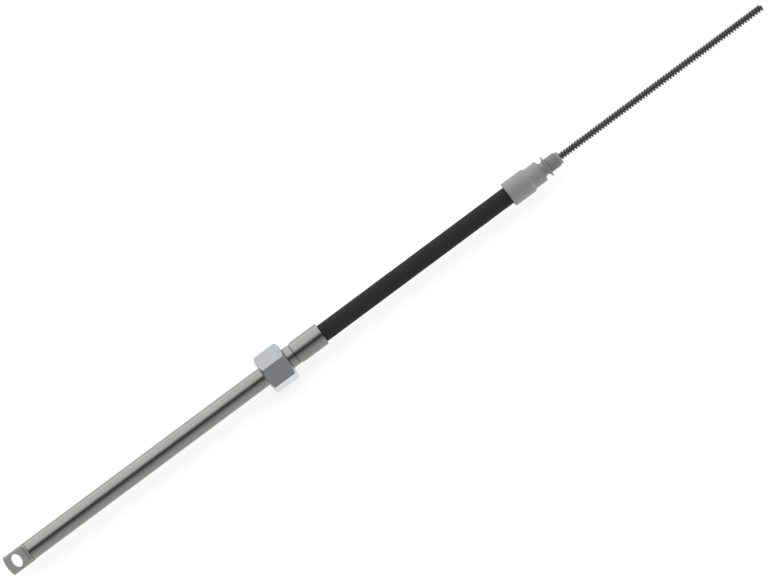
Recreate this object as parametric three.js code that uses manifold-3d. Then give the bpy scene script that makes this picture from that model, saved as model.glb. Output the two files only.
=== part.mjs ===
// Boat control cable: the straight rotary steering cable that runs from a helm to an outboard engine.
// +X runs along the cable from the eye end to the free end of the wound core, +Z is up.
// The origin is on the cable's centre line, halfway along its length. Sizes are in millimetres.
import * as THREE from 'three';
import { mergeVertices } from 'three/addons/utils/BufferGeometryUtils.js';
import Module from 'manifold-3d';

const wasm = await Module();
wasm.setup();

// Running and assembly clearances
const slideClearance = 0.3;         // radial, ram tube over guide tube
const seatClearance = 0.25;         // radial, a tube or plug fixed in its socket
const swivelClearance = 0.4;        // radial, nut on the ferrule's neck
const faceClearance = 0.3;          // along the cable, between faces that meet

// Ram tube and the eye that plugs its end
const ramDiameter = 15.875;
const ramWall = 1.6;
const ramTubeLength = 234.8;
const eyeLength = 20.5;             // what shows beyond the tube
const eyeShankLength = 18;          // what is plugged into the tube
const eyeCrownRadius = 24;          // domed tip
const eyeEdgeRadius = 0.2;
const eyeThickness = 9;             // across the two milled flats
const eyeFlatLength = 17;           // from the tip to the start of the cutter's cove
const eyeCoveRadius = 2.4;
const pinHoleLength = 7.8;          // along the cable
const pinHoleWidth = 10.9;          // across it
const pinHoleFromTip = 9.1;
const eyeAngle = Math.PI / 4;       // how far the flats are turned from level
const coreSocketDepth = 14;

// Guide tube that carries the ram
const guideWall = 2.2;
const guideInFerrule = 13;
const guideEndGap = 2;              // room between the guide's end and the eye's shank

// Coupling nut
const nutAcrossFlats = 28.575;
const nutLength = 21.9;
const nutChamferAngle = Math.PI / 6;
const nutFaceDiameter = 26.6;
const nutThreadBore = 20.6;
const nutWebThickness = 3.6;

// Conduit ferrule
const flangeDiameter = 20;
const flangeThickness = 2.4;
const neckDiameter = 17.5;
const neckExposed = 5.9;
const ferruleGrooveWidth = 0.6;
const ferruleGrooveDepth = 0.7;
const ferruleBodyDiameter = 18.9;
const ferruleBodyLength = 25.4;
const ferruleTaperLength = 2.4;     // from the neck's diameter up to the body's
const ferruleEdge = 0.5;
const ferruleWebThickness = 2;

// Conduit
const conduitDiameter = 14.1;
const conduitBore = 7.2;
const conduitExposed = 173.8;

// Helm fitting
const shoulderDiameter = 20;
const shoulderLength = 18.6;
const taperLength = 1.6;
const barrelDiameter = 17.3;
const barrelLength = 10.3;
const grooveLength = 5;
const grooveRootDiameter = 10.4;
const discThickness = 1;
const spigotDiameter = 9.2;
const collarDiameter = 10.3;
const collarLength = 2.6;
const fittingSocketDepth = 24;
const fittingEdge = 0.4;

// Nose sleeve
const sleeveDiameter = 11.7;
const sleeveLength = 9;

// Core
const strandDiameter = 3.2;
const coreExposed = 188.6;
const windingPitch = 2.51;
const windingDiameter = 6.5;
const wireRootWidth = 1.3;
const wireCrestWidth = 0.5;
const windingHidden = 10;           // how far the winding is carried on inside the fitting
const windingEndMargin = 0.2;

// Facets
const roundSides = 48;
const smallSides = 32;
const strandSides = 20;
const windingSteps = 8;             // steps in one turn of the winding
const arcSteps = 6;

// Bores and sockets that follow from what goes in them
const ramBore = ramDiameter - 2 * ramWall;
const guideDiameter = ramBore - 2 * slideClearance;
const guideBore = guideDiameter - 2 * guideWall;
const shankDiameter = ramBore - 2 * seatClearance;
const guideSocket = guideDiameter + 2 * seatClearance;
const nutWebBore = neckDiameter + 2 * swivelClearance;
const conduitSocket = conduitDiameter + 2 * seatClearance;
const coreSocket = strandDiameter + 2 * seatClearance;
const sleeveBore = spigotDiameter + 2 * seatClearance;
const windingBore = strandDiameter + 2 * faceClearance;

// Stations along the cable, each from the one before it
const stackLength = eyeLength + ramTubeLength + flangeThickness + 2 * faceClearance + nutWebThickness
  + neckExposed + ferruleGrooveWidth + ferruleBodyLength + conduitExposed + shoulderLength
  + taperLength + barrelLength + grooveLength + discThickness + sleeveLength + collarLength
  + coreExposed;
const xTip = -stackLength / 2;
const xTubeStart = xTip + eyeLength;
const xTubeEnd = xTubeStart + ramTubeLength;
const xFlangeFront = xTubeEnd + faceClearance;
const xFlangeBack = xFlangeFront + flangeThickness;
const xNutWeb = xFlangeBack + faceClearance;
const xNutBack = xNutWeb + nutWebThickness;
const xNutFront = xNutBack - nutLength;
const xNeckEnd = xNutBack + neckExposed;
const xFerruleBody = xNeckEnd + ferruleGrooveWidth;
const xFerruleEnd = xFerruleBody + ferruleBodyLength;
const xFittingStart = xFerruleEnd + conduitExposed;
const xTaper = xFittingStart + shoulderLength;
const xBarrel = xTaper + taperLength;
const xGroove = xBarrel + barrelLength;
const xDisc = xGroove + grooveLength;
const xSpigot = xDisc + discThickness;
const xCollar = xSpigot + sleeveLength;
const xFittingEnd = xCollar + collarLength;
const xCoreEnd = xFittingEnd + coreExposed;
const xShankEnd = xTubeStart + eyeShankLength;
const xStrandStart = xShankEnd - coreSocketDepth + faceClearance;
const xGuideStart = xShankEnd + guideEndGap;
const xGuideEnd = xFlangeFront + guideInFerrule;
const xFerruleWebFront = xGuideEnd + faceClearance;
const xFerruleWebBack = xFerruleWebFront + ferruleWebThickness;
const xConduitStart = xFerruleWebBack + faceClearance;
const xSocketEnd = xFittingStart + fittingSocketDepth;
const xConduitEnd = xSocketEnd - faceClearance;
const xWindingStart = xFittingEnd - windingHidden;
const xWindingEnd = xCoreEnd - windingEndMargin;

// Points [x, radius] of an arc round (cx, cr), from one angle to another
function arc(cx, cr, radius, from, to, steps = arcSteps) {
  const points = [];
  for (let i = 0; i <= steps; i += 1) {
    const angle = from + (to - from) * i / steps;
    points.push([cx + radius * Math.cos(angle), cr + radius * Math.sin(angle)]);
  }
  return points;
}

// A turned piece: the profile's points [x, radius] go round the X axis
function turned(profile, sides = roundSides) {
  const points = profile.map(([x, radius]) => new THREE.Vector2(radius, x));
  points.push(points[0].clone());
  return new THREE.LatheGeometry(points, sides).rotateZ(-Math.PI / 2);
}

// A tube from x0 to x1
function tube(x0, x1, outer, inner, sides = roundSides) {
  const outside = outer / 2;
  const inside = inner / 2;
  return turned([[x0, inside], [x0, outside], [x1, outside], [x1, inside]], sides);
}

// A solid rod from x0 to x1
function rod(x0, x1, diameter, sides = roundSides) {
  return turned([[x0, 0], [x0, diameter / 2], [x1, diameter / 2], [x1, 0]], sides);
}

// Geometry to boolean solid and back
function toSolid(geometry) {
  const bare = geometry.clone();
  bare.deleteAttribute('normal');
  bare.deleteAttribute('uv');
  const merged = mergeVertices(bare);
  return new wasm.Manifold(new wasm.Mesh({
    numProp: 3,
    vertProperties: new Float32Array(merged.attributes.position.array),
    triVerts: new Uint32Array(merged.index.array),
  }));
}

function toGeometry(solid) {
  const mesh = solid.getMesh();
  const geometry = new THREE.BufferGeometry();
  geometry.setAttribute('position', new THREE.BufferAttribute(mesh.vertProperties, 3));
  geometry.setIndex(new THREE.BufferAttribute(mesh.triVerts, 1));
  geometry.computeVertexNormals();
  return geometry;
}

// What the cutter takes off above one flat of the eye: level to the cove, up the cove, then straight up
function flatCutter() {
  const flat = eyeThickness / 2;
  const clear = ramDiameter;
  const xFlatEnd = xTip + eyeFlatLength;
  const cove = arc(xFlatEnd, flat + eyeCoveRadius, eyeCoveRadius, -Math.PI / 2, 0);
  const outline = [[xTip - clear, flat], ...cove, [xFlatEnd + eyeCoveRadius, clear], [xTip - clear, clear]];
  const shape = new THREE.Shape(outline.map(([x, z]) => new THREE.Vector2(x, z)));
  const cutter = new THREE.ExtrudeGeometry(shape, { depth: 2 * clear, bevelEnabled: false });
  return cutter.translate(0, 0, -clear).rotateX(Math.PI / 2);
}

// Oval hole for the pin, square to the flats
function pinHole() {
  const shape = new THREE.Shape();
  shape.absellipse(xTip + pinHoleFromTip, 0, pinHoleLength / 2, pinHoleWidth / 2, 0, 2 * Math.PI);
  const settings = { depth: 2 * ramDiameter, bevelEnabled: false, curveSegments: 16 };
  return new THREE.ExtrudeGeometry(shape, settings).translate(0, 0, -ramDiameter);
}

// Eye end: domed head as thick as the tube, shank plugged into the tube, blind socket for the core
function eyeEnd() {
  const head = ramDiameter / 2;
  const crownEnd = xTip + eyeCrownRadius - Math.sqrt(eyeCrownRadius ** 2 - (head - eyeEdgeRadius) ** 2);
  const crownAngle = Math.asin((head - eyeEdgeRadius) / eyeCrownRadius);
  const crown = arc(xTip + eyeCrownRadius, 0, eyeCrownRadius, Math.PI, Math.PI - crownAngle);
  const xHeadEnd = xTubeStart - faceClearance;
  const xSocket = xShankEnd - coreSocketDepth;
  crown[0][1] = 0;
  const profile = [
    ...crown,
    [crownEnd + eyeEdgeRadius, head],
    [xHeadEnd, head],
    [xHeadEnd, shankDiameter / 2],
    [xShankEnd, shankDiameter / 2],
    [xShankEnd, coreSocket / 2],
    [xSocket, coreSocket / 2],
    [xSocket, 0],
  ];
  const cutter = flatCutter();
  const opposite = cutter.clone().rotateX(Math.PI);
  return toGeometry(toSolid(turned(profile))
    .subtract(toSolid(cutter))
    .subtract(toSolid(opposite))
    .subtract(toSolid(pinHole())));
}

// Coupling nut: hexagon with both ends chamfered, threaded bore open to the left, web round the neck
function couplingNut() {
  const circumradius = nutAcrossFlats / Math.sqrt(3);
  const corners = [];
  for (let i = 0; i < 6; i += 1) {
    const angle = Math.PI / 2 + i * Math.PI / 3;
    corners.push(new THREE.Vector2(circumradius * Math.cos(angle), circumradius * Math.sin(angle)));
  }
  const settings = { depth: nutLength, bevelEnabled: false };
  const hexagon = new THREE.ExtrudeGeometry(new THREE.Shape(corners), settings)
    .rotateY(Math.PI / 2).translate(xNutFront, 0, 0);
  const face = nutFaceDiameter / 2;
  const chamfer = (circumradius - face) * Math.tan(nutChamferAngle);
  const blank = turned([
    [xNutFront, 0],
    [xNutFront, face],
    [xNutFront + chamfer, circumradius],
    [xNutBack - chamfer, circumradius],
    [xNutBack, face],
    [xNutBack, 0],
  ], 2 * roundSides);
  const threadBore = rod(xNutFront - nutLength, xNutWeb, nutThreadBore);
  const webBore = rod(xNutFront - nutLength, xNutBack + nutLength, nutWebBore);
  return toGeometry(toSolid(hexagon)
    .intersect(toSolid(blank))
    .subtract(toSolid(threadBore))
    .subtract(toSolid(webBore)));
}

// Conduit ferrule: flange and neck inside the nut, a cut groove, and the body crimped on the conduit
function conduitFerrule() {
  const body = ferruleBodyDiameter / 2;
  const neck = neckDiameter / 2;
  const flange = flangeDiameter / 2;
  const grooveRoot = neck - ferruleGrooveDepth;
  return turned([
    [xFlangeFront, guideSocket / 2],
    [xFlangeFront, flange],
    [xFlangeBack, flange],
    [xFlangeBack, neck],
    [xNeckEnd, neck],
    [xNeckEnd, grooveRoot],
    [xFerruleBody, grooveRoot],
    [xFerruleBody, neck],
    [xFerruleBody + ferruleTaperLength, body],
    [xFerruleEnd - ferruleEdge, body],
    [xFerruleEnd, body - ferruleEdge],
    [xFerruleEnd, conduitSocket / 2],
    [xFerruleWebBack, conduitSocket / 2],
    [xFerruleWebBack, conduitBore / 2],
    [xFerruleWebFront, conduitBore / 2],
    [xFerruleWebFront, guideSocket / 2],
  ]);
}

// Helm fitting: shoulder, taper, barrel, round-bottomed groove, thin disc, and spigot with a collar
function helmFitting() {
  const shoulder = shoulderDiameter / 2;
  const barrel = barrelDiameter / 2;
  const depth = (barrelDiameter - grooveRootDiameter) / 2;
  const middle = xGroove + grooveLength / 2;
  const groove = [];
  for (let i = 0; i <= 2 * arcSteps; i += 1) {
    const angle = Math.PI * i / (2 * arcSteps);
    groove.push([middle - Math.cos(angle) * grooveLength / 2, barrel - depth * Math.sin(angle)]);
  }
  return turned([
    [xFittingStart, conduitSocket / 2],
    [xFittingStart, shoulder - fittingEdge],
    [xFittingStart + fittingEdge, shoulder],
    [xTaper, shoulder],
    [xBarrel, barrel],
    ...groove,
    [xSpigot, barrel],
    [xSpigot, spigotDiameter / 2],
    [xCollar, spigotDiameter / 2],
    [xCollar, collarDiameter / 2],
    [xFittingEnd, collarDiameter / 2],
    [xFittingEnd, conduitBore / 2],
    [xSocketEnd, conduitBore / 2],
    [xSocketEnd, conduitSocket / 2],
  ]);
}

// Path of the wound wire: a left-handed helix whose section keeps facing away from the axis
class WindingPath extends THREE.Curve {
  constructor(x0, x1, radius, pitch) {
    super();
    Object.assign(this, { x0, x1, radius, angle: 2 * Math.PI * (x1 - x0) / pitch });
  }

  getPoint(t, target = new THREE.Vector3()) {
    const angle = this.angle * t;
    const x = this.x0 + (this.x1 - this.x0) * t;
    return target.set(x, this.radius * Math.cos(angle), -this.radius * Math.sin(angle));
  }

  // Equal steps of angle are equal steps of length
  getPointAt(t, target) {
    return this.getPoint(t, target);
  }

  computeFrenetFrames(segments) {
    const frames = { tangents: [], normals: [], binormals: [] };
    for (let i = 0; i <= segments; i += 1) {
      const angle = this.angle * i / segments;
      const outward = new THREE.Vector3(0, Math.cos(angle), -Math.sin(angle));
      frames.normals.push(outward);
      frames.binormals.push(new THREE.Vector3(1, 0, 0));
      frames.tangents.push(new THREE.Vector3().crossVectors(outward, frames.binormals[i]));
    }
    return frames;
  }
}

// Core winding: a wire of tapered section, its wide side towards the strand
function coreWinding() {
  const root = windingBore / 2;
  const crest = windingDiameter / 2;
  const middle = (root + crest) / 2;
  const shape = new THREE.Shape([
    new THREE.Vector2(root - middle, -wireRootWidth / 2),
    new THREE.Vector2(crest - middle, -wireCrestWidth / 2),
    new THREE.Vector2(crest - middle, wireCrestWidth / 2),
    new THREE.Vector2(root - middle, wireRootWidth / 2),
  ]);
  const inset = wireRootWidth / 2;
  const extrudePath = new WindingPath(xWindingStart + inset, xWindingEnd - inset, middle, windingPitch);
  const turns = (xWindingEnd - xWindingStart - wireRootWidth) / windingPitch;
  return new THREE.ExtrudeGeometry(shape, { steps: Math.round(turns * windingSteps), extrudePath });
}

const finishes = {
  stainless: { color: 0xb4b4b0, roughness: 0.2, metalness: 1 },
  eyeSteel: { color: 0x84847e, roughness: 0.45, metalness: 0.9 },
  platedSteel: { color: 0xc0c5ca, roughness: 0.3, metalness: 1 },
  jacket: { color: 0x2e2e2e, roughness: 0.5, metalness: 0 },
  fittingGrey: { color: 0x8c8c8c, roughness: 0.4, metalness: 0.7 },
  sleeveGrey: { color: 0x707070, roughness: 0.6, metalness: 0 },
  coreSteel: { color: 0x484848, roughness: 0.45, metalness: 0.8 },
};

const cable = new THREE.Group();

function addPiece(name, geometry, finish, parent = cable) {
  const mesh = new THREE.Mesh(geometry, new THREE.MeshStandardMaterial(finishes[finish]));
  mesh.name = name;
  parent.add(mesh);
  return mesh;
}

addPiece('eye_end', eyeEnd(), 'eyeSteel').rotation.x = eyeAngle;
addPiece('ram_tube', tube(xTubeStart, xTubeEnd, ramDiameter, ramBore), 'stainless');
addPiece('guide_tube', tube(xGuideStart, xGuideEnd, guideDiameter, guideBore), 'stainless');
addPiece('coupling_nut', couplingNut(), 'platedSteel');
addPiece('conduit_ferrule', conduitFerrule(), 'stainless');
addPiece('conduit', tube(xConduitStart, xConduitEnd, conduitDiameter, conduitBore), 'jacket');
addPiece('helm_fitting', helmFitting(), 'fittingGrey');
const sleeveEnds = [xSpigot + faceClearance / 2, xCollar - faceClearance / 2];
addPiece('nose_sleeve', tube(...sleeveEnds, sleeveDiameter, sleeveBore, smallSides), 'sleeveGrey');
addPiece('core_strand', rod(xStrandStart, xCoreEnd, strandDiameter, strandSides), 'coreSteel');
addPiece('core_winding', coreWinding(), 'coreSteel');

export default cable;
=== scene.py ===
# %% [markdown]
# # A boat's control cable
#
# A rotary steering cable joins a boat's wheel to its outboard engine. Inside a black conduit runs a steel
# core. At the helm end a wire wound round the core meshes with a toothed wheel, and at the engine end the
# core pushes a polished ram tube, whose flattened eye is pinned to the engine's tiller. This lesson
# finishes such a cable in Blender: turned metal, a milled eye, a hex nut with a real thread, and a wound
# core made with Geometry Nodes. The lengths below are in millimetres, and MM turns them into metres.

from math import cos, pi, radians, sin, sqrt, tan

import bmesh
import bpy
from mathutils import Matrix, Vector


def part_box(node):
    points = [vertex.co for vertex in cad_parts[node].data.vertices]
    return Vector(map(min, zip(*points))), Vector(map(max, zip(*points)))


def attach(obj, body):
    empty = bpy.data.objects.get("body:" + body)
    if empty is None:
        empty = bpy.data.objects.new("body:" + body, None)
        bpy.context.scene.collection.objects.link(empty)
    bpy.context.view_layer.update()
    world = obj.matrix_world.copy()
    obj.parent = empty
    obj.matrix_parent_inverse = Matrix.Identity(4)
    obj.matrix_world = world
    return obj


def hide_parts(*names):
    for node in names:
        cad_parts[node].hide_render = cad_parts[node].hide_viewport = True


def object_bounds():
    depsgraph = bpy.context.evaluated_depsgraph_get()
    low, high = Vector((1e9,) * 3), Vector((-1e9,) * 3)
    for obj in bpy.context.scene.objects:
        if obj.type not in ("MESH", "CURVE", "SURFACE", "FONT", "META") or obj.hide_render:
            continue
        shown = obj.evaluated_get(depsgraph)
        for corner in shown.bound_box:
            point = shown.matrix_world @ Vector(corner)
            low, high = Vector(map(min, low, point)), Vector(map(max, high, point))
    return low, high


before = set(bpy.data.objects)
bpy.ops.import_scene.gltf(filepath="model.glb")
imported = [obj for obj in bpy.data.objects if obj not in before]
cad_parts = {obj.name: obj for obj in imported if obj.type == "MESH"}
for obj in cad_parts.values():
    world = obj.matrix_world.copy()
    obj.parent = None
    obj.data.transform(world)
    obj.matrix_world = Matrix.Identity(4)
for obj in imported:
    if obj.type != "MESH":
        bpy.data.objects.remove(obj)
CAD_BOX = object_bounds()
MM = 0.001
print("The cable is", round((CAD_BOX[1].x - CAD_BOX[0].x) / MM, 1), "mm long")

# %% [markdown]
# ## The camera first
#
# The photograph looks square on to the cable, from 45 degrees above the floor, and the cable runs from
# lower left to upper right. Turning the camera about its own line of sight gives that slope. A very long
# lens, from four metres away, keeps the cable's width the same from end to end, as in a product picture.
# An orthographic camera would do that too, but a long lens also works for views from other sides. The
# picture's width is measured at the cable, and the aim lies a little off the cable's middle.

# %% Place the camera
CAMERA_ELEVATION = radians(45)
CABLE_SLOPE = radians(36.63)
LENS = 250.0
SENSOR = 36.0
FAR_PLANE = 50.0
PICTURE_WIDTH = 575.2
AIM_ALONG = -0.79
AIM_DOWN = 0.18


def show(name, data):
    """A new object in the scene, at the origin, that holds a mesh or a camera."""
    thing = bpy.data.objects.new(name, data)
    bpy.context.scene.collection.objects.link(thing)
    return thing


along = Vector((1, 0, 0))
above = Vector((0, sin(CAMERA_ELEVATION), cos(CAMERA_ELEVATION)))
towards_camera = Vector((0, -cos(CAMERA_ELEVATION), sin(CAMERA_ELEVATION)))
right = along * cos(CABLE_SLOPE) - above * sin(CABLE_SLOPE)
up = along * sin(CABLE_SLOPE) + above * cos(CABLE_SLOPE)
aim = (along * AIM_ALONG - above * AIM_DOWN) * MM
camera_data = bpy.data.cameras.new("camera")
camera_data.lens = LENS
camera_data.sensor_width = SENSOR
camera_data.clip_end = FAR_PLANE
camera = show("camera", camera_data)
turn = Matrix((right, up, towards_camera)).transposed().to_4x4()
distance = PICTURE_WIDTH * MM * LENS / SENSOR
camera.matrix_world = Matrix.Translation(aim + towards_camera * distance) @ turn
bpy.context.scene.camera = camera
print("Camera", round(distance, 2), "m from the cable")

# %% [markdown]
# ## Small helpers
#
# Colours are picked as sRGB hex values, as a paint program shows them, and Blender wants them linear. One
# function adds a node of any kind, sets it up and joins it to what feeds it, for shaders and geometry
# alike.

# %% Colours and nodes
def linear(hex_colour):
    """The linear colour, with alpha, of an sRGB hex value."""
    parts = [int(hex_colour[i:i + 2], 16) / 255 for i in (0, 2, 4)]
    return [p / 12.92 if p <= 0.04045 else ((p + 0.055) / 1.055) ** 2.4 for p in parts] + [1.0]


def add(tree, kind, feeds=None, **settings):
    """Add a node, give it its settings, and set or link its inputs."""
    node = tree.nodes.new(kind)
    for name, value in settings.items():
        setattr(node, name, value)
    for socket, value in (feeds or {}).items():
        if isinstance(value, bpy.types.NodeSocket):
            tree.links.new(value, node.inputs[socket])
        else:
            node.inputs[socket].default_value = value
    return node


# %% [markdown]
# A pattern is described by the real size of its marks along each axis of the cable. Machined metal has
# lines that run round the piece, drawn bar has lines along it, and both are the same stretched noise with
# a different stretch. It nudges the colour, the roughness and the height of the surface together. Noise
# keeps mostly to the middle of its range, so the middle is stretched over what is asked for. Corners and
# grooves get painted shade: Ambient Occlusion finds them on a shape of any kind, and the colour darkens
# there.

# %% Start a material
NOISE_LOW = 0.3
NOISE_HIGH = 0.7
# Ambient occlusion below the first value gets all of the painted shade, and above the second none
FULL_SHADE_BELOW = 0.55
NO_SHADE_ABOVE = 0.95


def surface(name, colour, metallic, roughness, **sockets):
    """A material with a Principled shader, and the tree and shader to work on."""
    material = bpy.data.materials.new(name)
    material.use_nodes = True
    tree = material.node_tree
    shader = tree.nodes["Principled BSDF"]
    values = {"Base Color": linear(colour), "Metallic": metallic, "Roughness": roughness, **sockets}
    for socket, value in values.items():
        shader.inputs[socket].default_value = value
    return material, tree, shader


def marks(tree, size, detail=3.0):
    """Noise on Object coordinates whose marks measure size, three lengths in millimetres."""
    place = add(tree, "ShaderNodeTexCoord").outputs["Object"]
    scale = [1 / (length * MM) for length in size]
    sized = add(tree, "ShaderNodeMapping", {"Vector": place, "Scale": scale})
    noise = add(tree, "ShaderNodeTexNoise", {"Vector": sized.outputs[0], "Scale": 1.0, "Detail": detail})
    return noise.outputs["Fac"]


def roughen(tree, shader, value, low, high):
    """Let the roughness wander between low and high."""
    feeds = {"Value": value, "From Min": NOISE_LOW, "From Max": NOISE_HIGH, "To Min": low, "To Max": high}
    wander = add(tree, "ShaderNodeMapRange", feeds)
    tree.links.new(wander.outputs["Result"], shader.inputs["Roughness"])


def tint(tree, shader, value, dark, light):
    """Let the colour wander between two hex values."""
    ramp = add(tree, "ShaderNodeValToRGB", {"Fac": value})
    ends = (NOISE_LOW, NOISE_HIGH)
    for element, colour, position in zip(ramp.color_ramp.elements, (dark, light), ends):
        element.color = linear(colour)
        element.position = position
    tree.links.new(ramp.outputs["Color"], shader.inputs["Base Color"])


def relief(tree, shader, value, height):
    """Raise the surface by a height in millimetres where the value is high."""
    feeds = {"Height": value, "Distance": height * MM, "Strength": 1.0}
    bump = add(tree, "ShaderNodeBump", feeds)
    tree.links.new(bump.outputs["Normal"], shader.inputs["Normal"])


def dim(tree, shader, share):
    """Scale the colour by a share that varies over the surface."""
    colour = shader.inputs["Base Color"].links[0].from_socket
    dimmed = add(tree, "ShaderNodeVectorMath", {"Vector": colour, "Scale": share}, operation="SCALE")
    tree.links.new(dimmed.outputs[0], shader.inputs["Base Color"])


def painted_corner_shade(tree, shader, reach, shade):
    """Darken the colour in corners and grooves, within a reach in millimetres, down to a share of it."""
    # Painted shade: the colour is darker where Ambient Occlusion finds corners and grooves
    open_share = add(tree, "ShaderNodeAmbientOcclusion", {"Distance": reach * MM}).outputs["AO"]
    feeds = {"Value": open_share, "From Min": FULL_SHADE_BELOW, "From Max": NO_SHADE_ABOVE, "To Min": shade}
    dim(tree, shader, add(tree, "ShaderNodeMapRange", feeds).outputs["Result"])


print("Helpers ready")

# %% [markdown]
# ## Metals
#
# Five metals meet on the cable. The ram is centreless-ground stainless tube: almost a mirror, with fine
# grinding lines round it. The eye is a steel plug, duller and a little olive, with painted shade on the
# round sides beside its two milled flats. The nut is drawn hex bar with bright zinc plating, which is
# cooler and shows long draw lines on its flats. The helm fitting is turned steel under a grey phosphate
# coat. The core is dark oiled spring wire.
#
# A metal's colour is its reflectance, so it is set in the base colour, and the IOR keeps its default. The
# stainless steel is bare and wholly metallic. The others wear a skin, an oil film or a thin coat that
# isn't metal, so they are metallic only in part. Real grinding and turning lines are a tenth of a
# millimetre wide or less, and a pixel of the picture is three quarters of one. The lines are drawn
# several times as coarse here, so that they show.

# %% Stainless steel, centreless ground
GRIND_LINE = 0.5
GRIND_DEPTH = 0.0004
PATCH_LENGTH = 30.0
PATCH_WIDTH = 7.5
GROOVE_REACH = 1.2
GROOVE_SHADE = 0.15


def ground_stainless():
    """Ram tube, guide tube and ferrule: mirror-like, with faint lines round the tube."""
    material, tree, shader = surface("ground_stainless_steel", "939391", 1.0, 0.12)
    patch = marks(tree, (PATCH_LENGTH, PATCH_WIDTH, PATCH_WIDTH), detail=2.0)
    tint(tree, shader, patch, "91918e", "959593")
    # Painted shade: the colour darkens in grooves and corners, such as the ferrule's groove
    painted_corner_shade(tree, shader, GROOVE_REACH, GROOVE_SHADE)
    line = marks(tree, (GRIND_LINE, PATCH_LENGTH, PATCH_LENGTH))
    roughen(tree, shader, line, 0.09, 0.15)
    relief(tree, shader, line, GRIND_DEPTH)
    return material


STAINLESS = ground_stainless()
print(STAINLESS.name)

# %% Milled steel of the eye
MILL_MARK = 0.6
MILL_STROKE = 9.0
MILL_DEPTH = 0.004
COVE_REACH = 3.0
COVE_SHADE = 0.1
EYE_THICKNESS = 9.0
EYE_TURN = radians(45)
SIDE_SHADE = 0.75
SIDE_FADE = 0.25
FLAT_MARGIN = 0.02


def painted_side_shade(tree, shader):
    """Painted shade: darken what lies nearer to the eye's middle plane than its two milled flats do."""
    place = add(tree, "ShaderNodeTexCoord").outputs["Object"]
    feeds = {0: place, 1: (0, -sin(EYE_TURN), cos(EYE_TURN))}
    across = add(tree, "ShaderNodeVectorMath", feeds, operation="DOT_PRODUCT").outputs["Value"]
    depth = add(tree, "ShaderNodeMath", {0: across}, operation="ABSOLUTE").outputs[0]
    flat = (EYE_THICKNESS / 2 - FLAT_MARGIN) * MM
    feeds = {"Value": depth, "From Min": flat - SIDE_FADE * MM, "From Max": flat, "To Min": SIDE_SHADE}
    dim(tree, shader, add(tree, "ShaderNodeMapRange", feeds).outputs["Result"])


def milled_steel():
    """Eye end: matt, with a cutter's short marks, and painted shade on its round sides and in corners."""
    material, tree, shader = surface("milled_steel", "a8a8a4", 0.2, 0.6)
    mark = marks(tree, (MILL_MARK, MILL_STROKE, MILL_STROKE), detail=4.0)
    tint(tree, shader, mark, "a4a4a0", "acaca8")
    # Painted shade in the cove and the pin hole, where Ambient Occlusion finds corners
    painted_corner_shade(tree, shader, COVE_REACH, COVE_SHADE)
    # Painted shade: the round sides beside the flats are darker than the flats
    painted_side_shade(tree, shader)
    roughen(tree, shader, mark, 0.54, 0.66)
    relief(tree, shader, mark, MILL_DEPTH)
    return material


MILLED = milled_steel()
print(MILLED.name)

# %% Bright zinc on drawn hex bar
DRAW_LINE = 0.35
DRAW_LENGTH = 25.0
DRAW_DEPTH = 0.0012
ZINC_CLOUD = 7.0


def zinc_plate():
    """Coupling nut: bright and slightly blue, draw lines along the flats under cloudy plating."""
    material, tree, shader = surface("bright_zinc_plate", "a3a5a8", 0.7, 0.30)
    cloud = marks(tree, (ZINC_CLOUD, ZINC_CLOUD, ZINC_CLOUD), detail=2.0)
    tint(tree, shader, cloud, "a0a3a7", "a5a7a9")
    line = marks(tree, (DRAW_LENGTH, DRAW_LINE, DRAW_LINE))
    roughen(tree, shader, line, 0.27, 0.33)
    relief(tree, shader, line, DRAW_DEPTH)
    return material


ZINC = zinc_plate()
print(ZINC.name)

# %% Phosphated turned steel of the helm fitting
TURNING_LINE = 0.4
TURNING_DEPTH = 0.003
TURNING_REACH = 40.0


def phosphated_steel():
    """Helm fitting: even matt grey, with the fine lines round it that the turning tool leaves."""
    material, tree, shader = surface("phosphated_steel", "9c9c9c", 0.1, 0.6)
    line = marks(tree, (TURNING_LINE, TURNING_REACH, TURNING_REACH))
    tint(tree, shader, line, "999999", "9f9f9f")
    roughen(tree, shader, line, 0.55, 0.65)
    relief(tree, shader, line, TURNING_DEPTH)
    return material


PHOSPHATED = phosphated_steel()
print(PHOSPHATED.name)

# %% Oiled spring wire of the core
OIL_STREAK = 4.8
OIL_WIDTH = 1.2


def oiled_wire():
    """Winding and strand: dark, with a film of oil that gathers in patches."""
    material, tree, shader = surface("oiled_spring_wire", "5a5a5a", 0.4, 0.45)
    film = marks(tree, (OIL_STREAK, OIL_WIDTH, OIL_WIDTH))
    tint(tree, shader, film, "525252", "626262")
    roughen(tree, shader, film, 0.35, 0.55)
    return material


OILED = oiled_wire()
print(OILED.name)

# %% [markdown]
# ## Plastics
#
# The conduit's jacket is extruded polyethylene with carbon black: matt, with faint die lines along it. The
# nose sleeve is moulded acetal, plain mid grey and matt. Plastics aren't metallic, and their gloss comes
# from the usual IOR of about 1.5. Both are so dull in the picture that most of that gloss is turned down.

# %% Extruded jacket
DIE_LINE = 0.8
DIE_LENGTH = 60.0
DIE_DEPTH = 0.01


def extruded_polyethylene():
    """Conduit jacket: near black, with die lines along it and a slightly uneven skin."""
    gloss = {"IOR": 1.51, "Specular IOR Level": 0.05}
    material, tree, shader = surface("extruded_polyethylene", "363636", 0.0, 0.7, **gloss)
    line = marks(tree, (DIE_LENGTH, DIE_LINE, DIE_LINE), detail=4.0)
    tint(tree, shader, line, "333333", "393939")
    roughen(tree, shader, line, 0.64, 0.76)
    relief(tree, shader, line, DIE_DEPTH)
    return material


JACKET = extruded_polyethylene()
print(JACKET.name)

# %% Moulded sleeve
MOULD_GRAIN = 0.5
MOULD_DEPTH = 0.01


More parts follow.
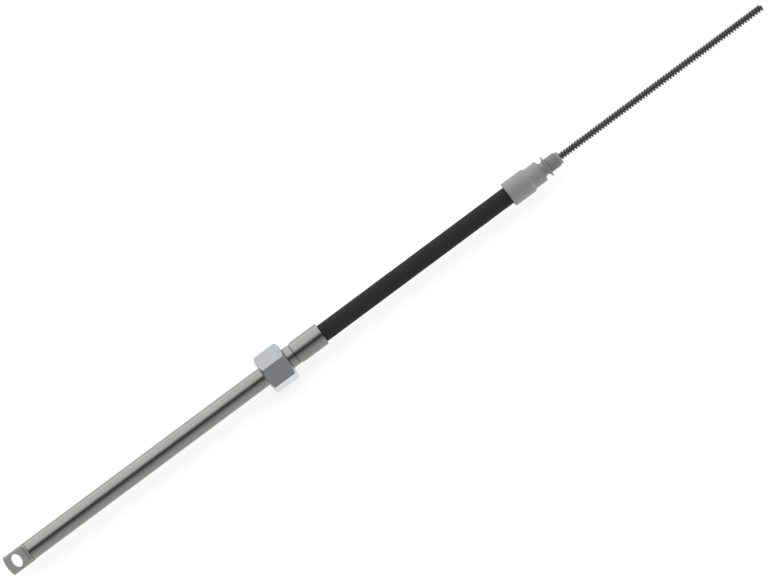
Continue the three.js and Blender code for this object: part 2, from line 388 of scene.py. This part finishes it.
def moulded_acetal():
    """Nose sleeve: mid grey and matt, with the fine grain of the mould."""
    gloss = {"IOR": 1.48, "Specular IOR Level": 0.2}
    material, tree, shader = surface("moulded_acetal", "888888", 0.0, 0.6, **gloss)
    grain = marks(tree, (MOULD_GRAIN, MOULD_GRAIN, MOULD_GRAIN), detail=4.0)
    tint(tree, shader, grain, "848484", "8c8c8c")
    relief(tree, shader, grain, MOULD_DEPTH)
    return material


ACETAL = moulded_acetal()
print(ACETAL.name)

# %% [markdown]
# ## Turned pieces
#
# Most of the cable was made on a lathe, so most of it is an outline turned round the X axis. An outline
# is a list of corners: the place along the cable, the radius, and how far the corner is rounded. Real
# corners are never sharp, and the small rounds are what catch the light. Beside each round a second
# ring of points holds the shading flat on the long straight faces. A Screw modifier would turn an outline
# too. Spin does it in one call, and merging the doubles then closes the seam and the poles.

# %% Round the corners of an outline
SIDES = 128
ROUND_STEPS = 5
GUARD = 0.12
SHARP_ANGLE = radians(35)


def rounded(corners):
    """Points (x, radius) of a closed outline, its corners (x, radius, rounding) made round."""
    outline = []
    for i, (x, radius, rounding) in enumerate(corners):
        corner = Vector((x, radius))
        if not rounding:
            outline.append(corner)
            continue
        before = Vector(corners[i - 1][:2]) - corner
        after = Vector(corners[(i + 1) % len(corners)][:2]) - corner
        start = corner + before.normalized() * rounding
        end = corner + after.normalized() * rounding
        for step in range(ROUND_STEPS + 1):
            t = step / ROUND_STEPS
            outline.append(start * (1 - t) ** 2 + corner * 2 * t * (1 - t) + end * t ** 2)
    return outline


def guarded(outline):
    """The same outline with a point close to both ends of each long straight side."""
    points = []
    for i, point in enumerate(outline):
        side = outline[(i + 1) % len(outline)] - point
        points.append(point)
        if side.length > 4 * GUARD:
            step = side.normalized() * GUARD
            points += [point + step, point + side - step]
    return points


# %% Turn an outline into a mesh
MERGE = 0.001


def solid(name, shape):
    """A mesh object in place of a bmesh, with its faces turned outwards."""
    bmesh.ops.recalc_face_normals(shape, faces=shape.faces)
    mesh = bpy.data.meshes.new(name)
    shape.to_mesh(mesh)
    shape.free()
    return show(name, mesh)


def smooth(piece):
    """Shade smooth, except across edges sharper than SHARP_ANGLE."""
    piece.data.polygons.foreach_set("use_smooth", [True] * len(piece.data.polygons))
    piece.data.set_sharp_from_angle(angle=SHARP_ANGLE)


def lathe(name, outline):
    """A mesh object: the closed outline turned round the X axis."""
    shape = bmesh.new()
    ring = [shape.verts.new((x * MM, 0, radius * MM)) for x, radius in outline]
    sides = [shape.edges.new((ring[i - 1], ring[i])) for i in range(len(ring))]
    bmesh.ops.spin(shape, geom=ring + sides, axis=(1, 0, 0), cent=(0, 0, 0), angle=2 * pi, steps=SIDES)
    bmesh.ops.remove_doubles(shape, verts=shape.verts, dist=MERGE * MM)
    piece = solid(name, shape)
    smooth(piece)
    return piece


def fit(piece, material, body, slot, *nodes):
    """Give a finished piece its material, and let it stand for CAD nodes on their body."""
    piece.data.materials.clear()
    piece.data.materials.append(material)
    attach(piece, body)
    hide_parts(*nodes)
    print(piece.name, len(piece.data.polygons), "faces, rides on", body)


def span(node):
    """Where a CAD node starts and ends along the cable, and its outer radius, in millimetres."""
    low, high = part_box(node)
    return low.x / MM, high.x / MM, max(high.y, high.z) / MM


# %% [markdown]
# ## Ram tube, guide tube and conduit
#
# Three plain tubes. The ram slides over the guide tube, which shows only when the ram is run out. The
# tubes' ends are eased by a fraction of a millimetre, as a deburring tool leaves them. A Solidify modifier
# on a cylinder gives a wall but sharp ends, so each tube is a turned outline of four corners.

# %% Turn the tubes
RAM_BORE = 6.34
GUIDE_BORE = 3.86
CONDUIT_BORE = 3.6
TUBE_EASE = 0.15


def tube(name, node, bore, ease):
    """A tube as long and as thick as a CAD node, with eased ends."""
    start, end, radius = span(node)
    corners = [(start, bore, 0), (start, radius, ease), (end, radius, ease), (end, bore, 0)]
    return lathe(name, guarded(rounded(corners)))


fit(tube("ram_tube_ground", "ram_tube", RAM_BORE, TUBE_EASE), STAINLESS, "ram", "stainless", "ram_tube")
guide = tube("guide_tube_drawn", "guide_tube", GUIDE_BORE, TUBE_EASE)
fit(guide, STAINLESS, "cable", "stainless", "guide_tube")
jacket = tube("conduit_jacket", "conduit", CONDUIT_BORE, TUBE_EASE)
fit(jacket, JACKET, "cable", "jacket", "conduit")

# %% [markdown]
# ## Ferrule
#
# The ferrule ends the conduit. Its flange sits inside the nut, its neck carries the nut, and a narrow
# groove parts the neck from the body that is crimped on the conduit. The groove is the dark line between
# the two, from its depth and from painted shade in it. Stacked cylinders and booleans could make it, but
# one outline gives all the steps, sockets and fillets at once, and its faces stay clean.

# %% Turn the ferrule
NECK_RADIUS = 8.75
NECK_LENGTH = 9.8
FLANGE_LENGTH = 2.4
GROOVE_WIDTH = 0.6
GROOVE_RADIUS = 8.05
FERRULE_TAPER = 2.4
FERRULE_RADIUS = 9.45
GUIDE_SOCKET_RADIUS = 6.3
GUIDE_SOCKET_LENGTH = 13.3
FERRULE_WEB = 2.0
CONDUIT_SOCKET_RADIUS = 7.15
CORE_PASSAGE = 3.6
FLANGE_ROUND = 0.3
NECK_FILLET = 0.2
GROOVE_EDGE = 0.05
GROOVE_FILLET = 0.1
BODY_ROUND = 0.6
ferrule_start, ferrule_end, flange_radius = span("conduit_ferrule")
neck_start = ferrule_start + FLANGE_LENGTH
neck_end = neck_start + NECK_LENGTH
body_start = neck_end + GROOVE_WIDTH
web_start = ferrule_start + GUIDE_SOCKET_LENGTH
web_end = web_start + FERRULE_WEB
ferrule_corners = [
    (ferrule_start, GUIDE_SOCKET_RADIUS, 0),
    (ferrule_start, flange_radius, FLANGE_ROUND),
    (neck_start, flange_radius, FLANGE_ROUND),
    (neck_start, NECK_RADIUS, NECK_FILLET),
    (neck_end, NECK_RADIUS, GROOVE_EDGE),
    (neck_end, GROOVE_RADIUS, GROOVE_FILLET),
    (body_start, GROOVE_RADIUS, GROOVE_FILLET),
    (body_start, NECK_RADIUS, GROOVE_EDGE),
    (body_start + FERRULE_TAPER, FERRULE_RADIUS, BODY_ROUND),
    (ferrule_end, FERRULE_RADIUS, BODY_ROUND),
    (ferrule_end, CONDUIT_SOCKET_RADIUS, 0),
    (web_end, CONDUIT_SOCKET_RADIUS, 0),
    (web_end, CORE_PASSAGE, 0),
    (web_start, CORE_PASSAGE, 0),
    (web_start, GUIDE_SOCKET_RADIUS, 0),
]
ferrule = lathe("ferrule_turned", guarded(rounded(ferrule_corners)))
fit(ferrule, STAINLESS, "cable", "stainless", "conduit_ferrule")

# %% [markdown]
# ## Helm fitting and nose sleeve
#
# From the conduit outwards: a wide shoulder, a short taper, a barrel, a round-bottomed groove, a thin
# disc, and a spigot that carries the sleeve behind an end collar. A torus could cut the round groove. It
# is part of the outline here, as a short loop of points on half an oval.

# %% Turn the helm fitting
SHOULDER_LENGTH = 18.6
TAPER_LENGTH = 1.6
BARREL_LENGTH = 10.3
BARREL_RADIUS = 8.65
HOLLOW_LENGTH = 5.0
HOLLOW_RADIUS = 5.2
DISC_THICKNESS = 1.0
SPIGOT_LENGTH = 9.0
SPIGOT_RADIUS = 4.6
COLLAR_RADIUS = 5.15
FITTING_SOCKET = 24.0
HOLLOW_STEPS = 16
SHOULDER_ROUND = 0.5
TAPER_ROUND = 0.3
HOLLOW_EDGE = 0.12
DISC_ROUND = 0.2
COLLAR_BACK_ROUND = 0.15
COLLAR_FRONT_ROUND = 0.2
MOUTH_ROUND = 0.15
fitting_start, fitting_end, shoulder_radius = span("helm_fitting")
taper_start = fitting_start + SHOULDER_LENGTH
barrel_start = taper_start + TAPER_LENGTH
hollow_start = barrel_start + BARREL_LENGTH
disc_start = hollow_start + HOLLOW_LENGTH
spigot_start = disc_start + DISC_THICKNESS
collar_start = spigot_start + SPIGOT_LENGTH
socket_end = fitting_start + FITTING_SOCKET


def hollow():
    """The round-bottomed groove, half an oval deep, from the barrel's edge to the disc's."""
    corners = []
    for step in range(1, HOLLOW_STEPS):
        angle = pi * step / HOLLOW_STEPS
        x = hollow_start + HOLLOW_LENGTH * (1 - cos(angle)) / 2
        corners.append((x, BARREL_RADIUS - (BARREL_RADIUS - HOLLOW_RADIUS) * sin(angle), 0))
    return corners


fitting_corners = [
    (fitting_start, CONDUIT_SOCKET_RADIUS, 0),
    (fitting_start, shoulder_radius, SHOULDER_ROUND),
    (taper_start, shoulder_radius, TAPER_ROUND),
    (barrel_start, BARREL_RADIUS, TAPER_ROUND),
    (hollow_start, BARREL_RADIUS, HOLLOW_EDGE),
    *hollow(),
    (disc_start, BARREL_RADIUS, HOLLOW_EDGE),
    (spigot_start, BARREL_RADIUS, DISC_ROUND),
    (spigot_start, SPIGOT_RADIUS, 0),
    (collar_start, SPIGOT_RADIUS, 0),
    (collar_start, COLLAR_RADIUS, COLLAR_BACK_ROUND),
    (fitting_end, COLLAR_RADIUS, COLLAR_FRONT_ROUND),
    (fitting_end, CORE_PASSAGE, MOUTH_ROUND),
    (socket_end, CORE_PASSAGE, 0),
    (socket_end, CONDUIT_SOCKET_RADIUS, 0),
]
fitting = lathe("helm_fitting_turned", guarded(rounded(fitting_corners)))
fit(fitting, PHOSPHATED, "cable", "fitting_grey", "helm_fitting")

# %% Mould the sleeve
SLEEVE_BORE = 4.7
SLEEVE_EASE = 0.4
sleeve = tube("nose_sleeve_moulded", "nose_sleeve", SLEEVE_BORE, SLEEVE_EASE)
fit(sleeve, ACETAL, "cable", "sleeve", "nose_sleeve")

# %% [markdown]
# ## Eye end
#
# The eye starts as a turned plug with a domed tip. A cutter mills a flat on each side, and where it
# stops its round edge leaves a hollow cove. An oval hole takes the tiller's pin. No outline or sheet of
# faces gives such a shape easily, so booleans repeat those cuts in the same order, and a fine bevel then
# softens every edge that they leave.

# %% Make the cutters
EYE_LENGTH = 20.2
EYE_CROWN = 24.0
EYE_FLAT = 17.0
EYE_COVE = 2.4
PIN_HOLE = (7.8, 10.9)
PIN_HOLE_PLACE = 9.1
HOLE_STEPS = 96
COVE_STEPS = 16
CUT_DEPTH = 20.0
eye_start, eye_end, eye_radius = span("eye_end")


def prism(name, outline, low, high, turn):
    """A solid with a flat outline of (x, y) points, from low to high, turned about the X axis."""
    shape = bmesh.new()
    floor = [shape.verts.new((x * MM, y * MM, low * MM)) for x, y in outline]
    face = shape.faces.new(floor)
    raised = bmesh.ops.extrude_face_region(shape, geom=[face])["geom"]
    tops = [v for v in raised if isinstance(v, bmesh.types.BMVert)]
    bmesh.ops.translate(shape, verts=tops, vec=(0, 0, (high - low) * MM))
    bmesh.ops.transform(shape, verts=shape.verts, matrix=Matrix.Rotation(turn, 4, "X"))
    return solid(name, shape)


def flat_outline():
    """What the mill takes off over one flat, seen from the side."""
    flat = EYE_THICKNESS / 2
    stop = eye_start + EYE_FLAT
    outline = [(eye_start - CUT_DEPTH, CUT_DEPTH), (eye_start - CUT_DEPTH, flat)]
    for step in range(COVE_STEPS + 1):
        angle = pi / 2 * step / COVE_STEPS
        outline.append((stop + EYE_COVE * sin(angle), flat + EYE_COVE * (1 - cos(angle))))
    return [*outline, (stop + EYE_COVE, CUT_DEPTH)]


def oval_outline():
    """The pin hole, seen square on."""
    steps = [2 * pi * i / HOLE_STEPS for i in range(HOLE_STEPS)]
    middle = eye_start + PIN_HOLE_PLACE
    return [(middle + PIN_HOLE[0] / 2 * cos(a), PIN_HOLE[1] / 2 * sin(a)) for a in steps]


# %% Cut and bevel
BEVEL_STEPS = 3
FACE_WEIGHT = 100


def settle(piece):
    """Turn the piece with its modifiers into a plain mesh."""
    shown = piece.evaluated_get(bpy.context.evaluated_depsgraph_get())
    mesh = bpy.data.meshes.new_from_object(shown)
    piece.modifiers.clear()
    piece.data = mesh


def cut(piece, tools, operation="DIFFERENCE"):
    """Apply one boolean for each tool, and remove the tools."""
    for tool in tools:
        modifier = piece.modifiers.new(tool.name, "BOOLEAN")
        modifier.operation, modifier.solver, modifier.object = operation, "EXACT", tool
    settle(piece)
    for tool in tools:
        bpy.data.objects.remove(tool)


def bevel(piece, width):
    """Round the sharp edges of a cut piece, and let the large faces keep their own normals."""
    piece.data.polygons.foreach_set("use_smooth", [True] * len(piece.data.polygons))
    modifier = piece.modifiers.new("bevel", "BEVEL")
    modifier.width, modifier.segments = width * MM, BEVEL_STEPS
    modifier.limit_method, modifier.angle_limit = "ANGLE", SHARP_ANGLE
    weights = piece.modifiers.new("weights", "WEIGHTED_NORMAL")
    weights.mode, weights.weight = "FACE_AREA", FACE_WEIGHT
    settle(piece)


# %% Make the eye
SHANK_RADIUS = 6.09
CORE_SOCKET = 1.85
CORE_SOCKET_DEPTH = 14.0
CROWN_STEPS = 10
EYE_RIM = 0.2
EYE_EDGE = 0.2
HEAD_ROUND = 0.1
SHANK_ROUND = 0.5


def crown():
    """Points of the domed tip, from the axis to the plug's full radius."""
    edge = eye_radius - EYE_RIM
    points = []
    for step in range(CROWN_STEPS + 1):
        radius = edge * step / CROWN_STEPS
        points.append(Vector((eye_start + EYE_CROWN - sqrt(EYE_CROWN ** 2 - radius ** 2), radius)))
    return [*points, Vector((points[-1].x + EYE_RIM, eye_radius))]


head_end = eye_start + EYE_LENGTH
shank_corners = [
    (head_end, eye_radius, HEAD_ROUND),
    (head_end, SHANK_RADIUS, 0),
    (eye_end, SHANK_RADIUS, SHANK_ROUND),
    (eye_end, CORE_SOCKET, 0),
    (eye_end - CORE_SOCKET_DEPTH, CORE_SOCKET, 0),
    (eye_end - CORE_SOCKET_DEPTH, 0, 0),
]
eye = lathe("eye_milled", crown() + rounded(shank_corners))
flat_cutters = [
    prism(f"flat_{i}", flat_outline(), -CUT_DEPTH, CUT_DEPTH, pi / 2 + i * pi) for i in range(2)
]
hole_cutter = prism("hole", oval_outline(), -CUT_DEPTH, CUT_DEPTH, 0)
cut(eye, [*flat_cutters, hole_cutter])
bevel(eye, EYE_EDGE)
eye.data.transform(Matrix.Rotation(EYE_TURN, 4, "X"))
fit(eye, MILLED, "ram", "eye_steel", "eye_end")

# %% [markdown]
# ## Coupling nut
#
# The nut is cut from hexagonal bar. Both ends are chamfered on the lathe, which leaves the curved edges
# that every nut has, and the bore is threaded. Drawing those curves by hand is slow, so the hexagon is
# intersected with a turned barrel, which leaves them just as the lathe does. A thread is a ridge that
# follows a helix, so it is made with Geometry Nodes, by the same tree that makes the core's winding.

# %% Cut the hexagon and its bore
NUT_FACE_RADIUS = 13.3
NUT_CHAMFER = radians(30)
THREAD_MAJOR = 11.1
WEB_BORE = 9.15
WEB_THICKNESS = 3.6
NUT_EDGE = 0.2
OVERRUN = 1.0
nut_start, nut_end, nut_corner = span("coupling_nut")


def chamfer_blank():
    """A barrel that takes the hexagon's corners off at both ends."""
    length = (nut_corner - NUT_FACE_RADIUS) * tan(NUT_CHAMFER)
    outline = [
        (nut_start, 0),
        (nut_start, NUT_FACE_RADIUS),
        (nut_start + length, nut_corner),
        (nut_end - length, nut_corner),
        (nut_end, NUT_FACE_RADIUS),
        (nut_end, 0),
    ]
    return lathe("blank", [Vector(point) for point in outline])


def plug(name, start, end, radius):
    """A plain round cutter."""
    return lathe(name, [Vector(p) for p in ((start, 0), (start, radius), (end, radius), (end, 0))])


# The prism stands along Z, and an exact quarter turn about Y lays it along X
QUARTER_TURN = Matrix(((0, 0, 1, 0), (0, 1, 0, 0), (-1, 0, 0, 0), (0, 0, 0, 1)))
hexagon = [(nut_corner * sin(i * pi / 3), nut_corner * cos(i * pi / 3)) for i in range(6)]
nut = prism("nut_zinc_plated", hexagon, nut_start, nut_end, 0)
nut.data.transform(QUARTER_TURN)
cut(nut, [chamfer_blank()], "INTERSECT")
mouth = plug("mouth", nut_start - OVERRUN, nut_end - WEB_THICKNESS, THREAD_MAJOR)
cut(nut, [mouth, plug("web", nut_start - OVERRUN, nut_end + OVERRUN, WEB_BORE)])
bevel(nut, NUT_EDGE)
fit(nut, ZINC, "nut", "plated_steel", "coupling_nut")

# %% [markdown]
# ## One tree for every helix
#
# A curve spiral gives the path. Its normals are set to Z Up, which keeps the section from twisting on the
# way. The section is a trapezium with rounded corners. Its height lies along the axis, so its slanted
# sides face inwards and outwards, and a ridge that tapers outwards would need it turned by a quarter of a
# turn. Both helices come out right-handed here. A start angle turns the finished helix about
# its axis. A Screw modifier could wind it too, but here one tree serves both. It takes every size as a
# named input, and ends by realizing what it made and giving it a material.

# %% Start, sweep and end a tree
FILLET_STEPS = 2


def new_tree(name, inputs):
    """A Geometry Nodes tree with these named inputs, and its input and output nodes."""
    tree = bpy.data.node_groups.new(name, "GeometryNodeTree")
    tree.interface.new_socket("Geometry", in_out="OUTPUT", socket_type="NodeSocketGeometry")
    for label, kind in inputs:
        tree.interface.new_socket(label, in_out="INPUT", socket_type=f"NodeSocket{kind}")
    return tree, add(tree, "NodeGroupInput").outputs, add(tree, "NodeGroupOutput")


def sweep(tree, path, section):
    """Draw a section along a path, and close the ends."""
    feeds = {"Curve": path.outputs[0], "Profile Curve": section.outputs[0], "Fill Caps": True}
    return add(tree, "GeometryNodeCurveToMesh", feeds)


def end_tree(tree, made, given, output, roll=(0, 0, 0)):
    """Lay what stands along Z on the X axis, move it to its start, realize it and give its material."""
    lie = add(tree, "GeometryNodeTransform", {"Geometry": made.outputs[0], "Rotation": (0, pi / 2, 0)})
    start = add(tree, "ShaderNodeCombineXYZ", {"X": given["Start"]})
    feeds = {"Geometry": lie.outputs[0], "Translation": start.outputs[0], "Rotation": roll}
    placed = add(tree, "GeometryNodeTransform", feeds)
    real = add(tree, "GeometryNodeRealizeInstances", {"Geometry": placed.outputs[0]})
    feeds = {"Geometry": real.outputs[0], "Material": given["Material"]}
    finished = add(tree, "GeometryNodeSetMaterial", feeds)
    tree.links.new(finished.outputs[0], output.inputs[0])


# %% Build the helix tree
def helix_tree():
    """A wire of trapezium section wound round the X axis."""
    sizes = ["Start", "Radius", "Turns", "Length", "Root Width", "Crest Width", "Depth", "Rounding"]
    inputs = [(size, "Float") for size in sizes]
    inputs += [("Start Angle", "Float"), ("Left Handed", "Bool"), ("Steps", "Int")]
    inputs += [("Material", "Material")]
    tree, given, output = new_tree("helix", inputs)
    spiral = add(tree, "GeometryNodeCurveSpiral", {
        "Resolution": given["Steps"], "Rotations": given["Turns"], "Height": given["Length"],
        "Start Radius": given["Radius"], "End Radius": given["Radius"], "Reverse": given["Left Handed"],
    })
    path = add(tree, "GeometryNodeSetCurveNormal", {"Curve": spiral.outputs[0]}, mode="Z_UP")
    section = add(tree, "GeometryNodeCurvePrimitiveQuadrilateral", {
        "Bottom Width": given["Root Width"], "Top Width": given["Crest Width"],
        "Height": given["Depth"], "Offset": 0.0,
    }, mode="TRAPEZOID")
    eased = add(tree, "GeometryNodeFilletCurve", {
        "Curve": section.outputs[0], "Count": FILLET_STEPS, "Radius": given["Rounding"],
        "Limit Radius": True,
    }, mode="POLY")
    roll = add(tree, "ShaderNodeCombineXYZ", {"X": given["Start Angle"]})
    end_tree(tree, sweep(tree, path, eased), given, output, roll.outputs[0])
    return tree


HELIX = helix_tree()
print("Helix tree with", len(HELIX.nodes), "nodes")


# %% Run a tree and keep its mesh
def grow(name, tree, values):
    """A plain mesh object from a tree, its inputs set by name."""
    piece = show(name, bpy.data.meshes.new(name))
    modifier = piece.modifiers.new(name, "NODES")
    modifier.node_group = tree
    for socket in tree.interface.items_tree:
        if socket.in_out == "INPUT":
            modifier[socket.identifier] = values[socket.name]
    settle(piece)
    smooth(piece)
    return piece


# %% Thread the nut
THREAD_PITCH = 25.4 / 14
THREAD_DEPTH = 0.9
THREAD_ROOT = 1.65
THREAD_CREST = 0.3
THREAD_LENGTH = 14.0
THREAD_ROUND = 0.05
THREAD_BITE = 0.05
THREAD_STEPS = 64
thread_radius = THREAD_MAJOR - THREAD_DEPTH / 2 + THREAD_BITE
thread_values = {
    "Start": (nut_start + THREAD_ROOT / 2) * MM, "Radius": thread_radius * MM,
    "Turns": THREAD_LENGTH / THREAD_PITCH, "Length": THREAD_LENGTH * MM,
    "Root Width": THREAD_CREST * MM, "Crest Width": THREAD_ROOT * MM, "Depth": THREAD_DEPTH * MM,
    "Rounding": THREAD_ROUND * MM, "Start Angle": 0.0, "Left Handed": False,
    "Steps": THREAD_STEPS, "Material": ZINC,
}
thread = grow("nut_thread", HELIX, thread_values)
fit(thread, ZINC, "nut", "plated_steel", "coupling_nut")

# %% [markdown]
# ## Core
#
# The core is a strand of seven wires with a single wire wound round it, one turn every 2.5 mm, to make a
# flexible rack for the helm's wheel. In the picture the near side of each turn leans forward at the top,
# which makes the real winding a left-handed one. This one is right-handed, which is a fault, and it hardly
# shows at three pixels a turn. Half a turn of start angle puts its crests where the picture has them.

# %% Wind the wire
WINDING_PITCH = 2.51
WIRE_DEPTH = 1.45
WIRE_ROOT = 1.0
WIRE_CREST = 0.15
WIRE_ROUND = 0.06
WINDING_STEPS = 32
winding_start, winding_end, winding_radius = span("core_winding")
winding_length = winding_end - winding_start - WIRE_ROOT
winding_values = {
    "Start": (winding_start + WIRE_ROOT / 2) * MM, "Radius": (winding_radius - WIRE_DEPTH / 2) * MM,
    "Turns": winding_length / WINDING_PITCH, "Length": winding_length * MM,
    "Root Width": WIRE_ROOT * MM, "Crest Width": WIRE_CREST * MM, "Depth": WIRE_DEPTH * MM,
    "Rounding": WIRE_ROUND * MM, "Start Angle": pi, "Left Handed": True,
    "Steps": WINDING_STEPS, "Material": OILED,
}
winding = grow("core_winding_wire", HELIX, winding_values)
fit(winding, OILED, "core", "core_steel", "core_winding")

# %% [markdown]
# Each outer wire of the strand is a long, slow helix. One wire is made and set six times round the
# middle one, as instances that are realized at the end.

# %% Lay the strand
LAY_LENGTH = 26.0
OUTER_WIRES = 6
WIRE_SIDES = 10
STRAND_STEPS = 20


def strand_tree():
    """Six wires laid round a straight one, along the X axis."""
    inputs = [(size, "Float") for size in ("Start", "Length", "Wire Radius", "Turns")]
    inputs += [("Outer Wires", "Int"), ("Steps", "Int"), ("Material", "Material")]
    tree, given, output = new_tree("strand", inputs)
    feeds = {0: given["Wire Radius"], 1: 2.0}
    orbit = add(tree, "ShaderNodeMath", feeds, operation="MULTIPLY").outputs[0]
    spiral = add(tree, "GeometryNodeCurveSpiral", {
        "Resolution": given["Steps"], "Rotations": given["Turns"], "Height": given["Length"],
        "Start Radius": orbit, "End Radius": orbit,
    })
    feeds = {"Resolution": WIRE_SIDES, "Radius": given["Wire Radius"]}
    section = add(tree, "GeometryNodeCurvePrimitiveCircle", feeds)
    wire = sweep(tree, spiral, section)
    points = add(tree, "GeometryNodeMeshLine", {"Count": given["Outer Wires"], "Offset": (0, 0, 0)})
    share = add(tree, "ShaderNodeMath", {0: 2 * pi, 1: given["Outer Wires"]}, operation="DIVIDE")
    index = add(tree, "GeometryNodeInputIndex").outputs[0]
    angle = add(tree, "ShaderNodeMath", {0: index, 1: share.outputs[0]}, operation="MULTIPLY")
    turn = add(tree, "FunctionNodeAxisAngleToRotation", {"Angle": angle.outputs[0]})
    feeds = {"Points": points.outputs[0], "Instance": wire.outputs[0], "Rotation": turn.outputs[0]}
    outer = add(tree, "GeometryNodeInstanceOnPoints", feeds)
    far = add(tree, "ShaderNodeCombineXYZ", {"Z": given["Length"]})
    axis = add(tree, "GeometryNodeCurvePrimitiveLine", {"End": far.outputs[0]})
    middle = sweep(tree, axis, section)
    joined = add(tree, "GeometryNodeJoinGeometry")
    for made in (middle, outer):
        tree.links.new(made.outputs[0], joined.inputs[0])
    end_tree(tree, joined, given, output)
    return tree


strand_start, strand_end, strand_radius = span("core_strand")
# Half the middle wire and one whole outer wire lie between the axis and the strand's outside
wire_radius = strand_radius / 3
# An outer wire is cut square to its own slope, so its end leans past the middle wire's end by this
end_lean = wire_radius * 4 * pi * wire_radius / LAY_LENGTH
strand_length = strand_end - strand_start - 2 * end_lean
strand_values = {
    "Start": (strand_start + end_lean) * MM, "Length": strand_length * MM,
    "Wire Radius": wire_radius * MM, "Turns": strand_length / LAY_LENGTH,
    "Outer Wires": OUTER_WIRES, "Steps": STRAND_STEPS, "Material": OILED,
}
strand = grow("core_strand_wires", strand_tree(), strand_values)
fit(strand, OILED, "core", "core_steel", "core_strand")

# %% [markdown]
# ## Floor and light
#
# The floor is plain and pale. Most of its brightness is its own, so that the shadow under the cable stays
# faint, as on a light table. The light is a studio tent, a world whose brightness depends on the angle
# round the cable, and falls off towards the cable's ends. Polished metal is seen only by what it mirrors,
# so the tent is bright above and behind, and has a dark band round the place where the camera stands,
# which draws the dark line along the ram tube. The mirror images come from the tent alone: the floor is
# hidden from them, and the tent goes on below it.

# %% Lay the floor
FLOOR_SIZE = 12.0
FLOOR_GLOW = 0.84


def pale_floor():
    """Matt grey with a glow of its own, which together come out almost white."""
    material, _, shader = surface("pale_floor", "828282", 0.0, 0.9, **{"Specular IOR Level": 0.0})
    shader.inputs["Emission Color"].default_value = linear("ffffff")
    shader.inputs["Emission Strength"].default_value = FLOOR_GLOW
    return material


half = FLOOR_SIZE / 2
level = CAD_BOX[0].z
floor_mesh = bpy.data.meshes.new("floor")
floor_corners = [(-half, -half, level), (half, -half, level), (half, half, level), (-half, half, level)]
floor_mesh.from_pydata(floor_corners, [], [(0, 1, 2, 3)])
floor_mesh.materials.append(pale_floor())
floor = show("floor", floor_mesh)
floor.visible_glossy = False
print("Floor at", round(level / MM, 2), "mm")

# %% Light it with a tent
# Degrees round the cable, from the horizon on the camera's side up over the top, and the brightness there
TENT = [(-180, 0.95), (-150, 1.15), (-125, 1.7), (-92, 1.7), (-75, 0.9), (-50, 0.84), (-25, 0.80),
        (-10, 0.73), (1, 0.62), (12, 0.50), (23, 0.30), (34, 0.15), (40, 0.12), (47, 0.13), (55, 0.30),
        (66, 0.86), (78, 1.30), (90, 1.42), (112, 1.42), (124, 1.48), (136, 1.68), (150, 1.6), (180, 0.95)]
# How far a direction leans to the eye's end, -1, or to the core's end, 1, and its share of that brightness
ENDS = [(-1, 0.05), (-0.8, 0.05), (-0.55, 0.9), (-0.35, 1.0), (0.35, 1.0), (0.9, 0.85), (1, 0.85)]
BACKDROP = 1.0


def curve(tree, value, stops):
    """A brightness that follows stops of (value, brightness)."""
    low, high = stops[0][0], stops[-1][0]
    place = add(tree, "ShaderNodeMapRange", {"Value": value, "From Min": low, "From Max": high})
    ramp = add(tree, "ShaderNodeValToRGB", {"Fac": place.outputs[0]})
    elements = ramp.color_ramp.elements
    for position, _ in stops[1:-1]:
        elements.new((position - low) / (high - low))
    for element, (_, brightness) in zip(elements, stops):
        element.color = [brightness] * 3 + [1]
    return ramp.outputs["Color"]


def light_tent():
    """World light that follows TENT round the cable and ENDS along it. The camera sees a backdrop."""
    world = bpy.data.worlds.new("light_tent")
    world.use_nodes = True
    tree = world.node_tree
    tree.nodes.clear()
    place = add(tree, "ShaderNodeTexCoord").outputs["Generated"]
    split = add(tree, "ShaderNodeSeparateXYZ", {"Vector": place}).outputs
    ahead = add(tree, "ShaderNodeMath", {0: split["Y"], 1: -1.0}, operation="MULTIPLY").outputs[0]
    angle = add(tree, "ShaderNodeMath", {0: split["Z"], 1: ahead}, operation="ARCTAN2").outputs[0]
    degrees = add(tree, "ShaderNodeMath", {0: angle}, operation="DEGREES").outputs[0]
    feeds = {"Color": curve(tree, degrees, TENT), "Strength": curve(tree, split["X"], ENDS)}
    tent = add(tree, "ShaderNodeBackground", feeds)
    backdrop = add(tree, "ShaderNodeBackground", {"Color": [BACKDROP] * 3 + [1]})
    seen = add(tree, "ShaderNodeLightPath").outputs["Is Camera Ray"]
    mixed = add(tree, "ShaderNodeMixShader", {0: seen, 1: tent.outputs[0], 2: backdrop.outputs[0]})
    add(tree, "ShaderNodeOutputWorld", {"Surface": mixed.outputs[0]})
    return world


bpy.context.scene.world = light_tent()
bpy.context.scene.view_settings.view_transform = "Standard"
print("Tent with", len(TENT), "stops round the cable and", len(ENDS), "along it")
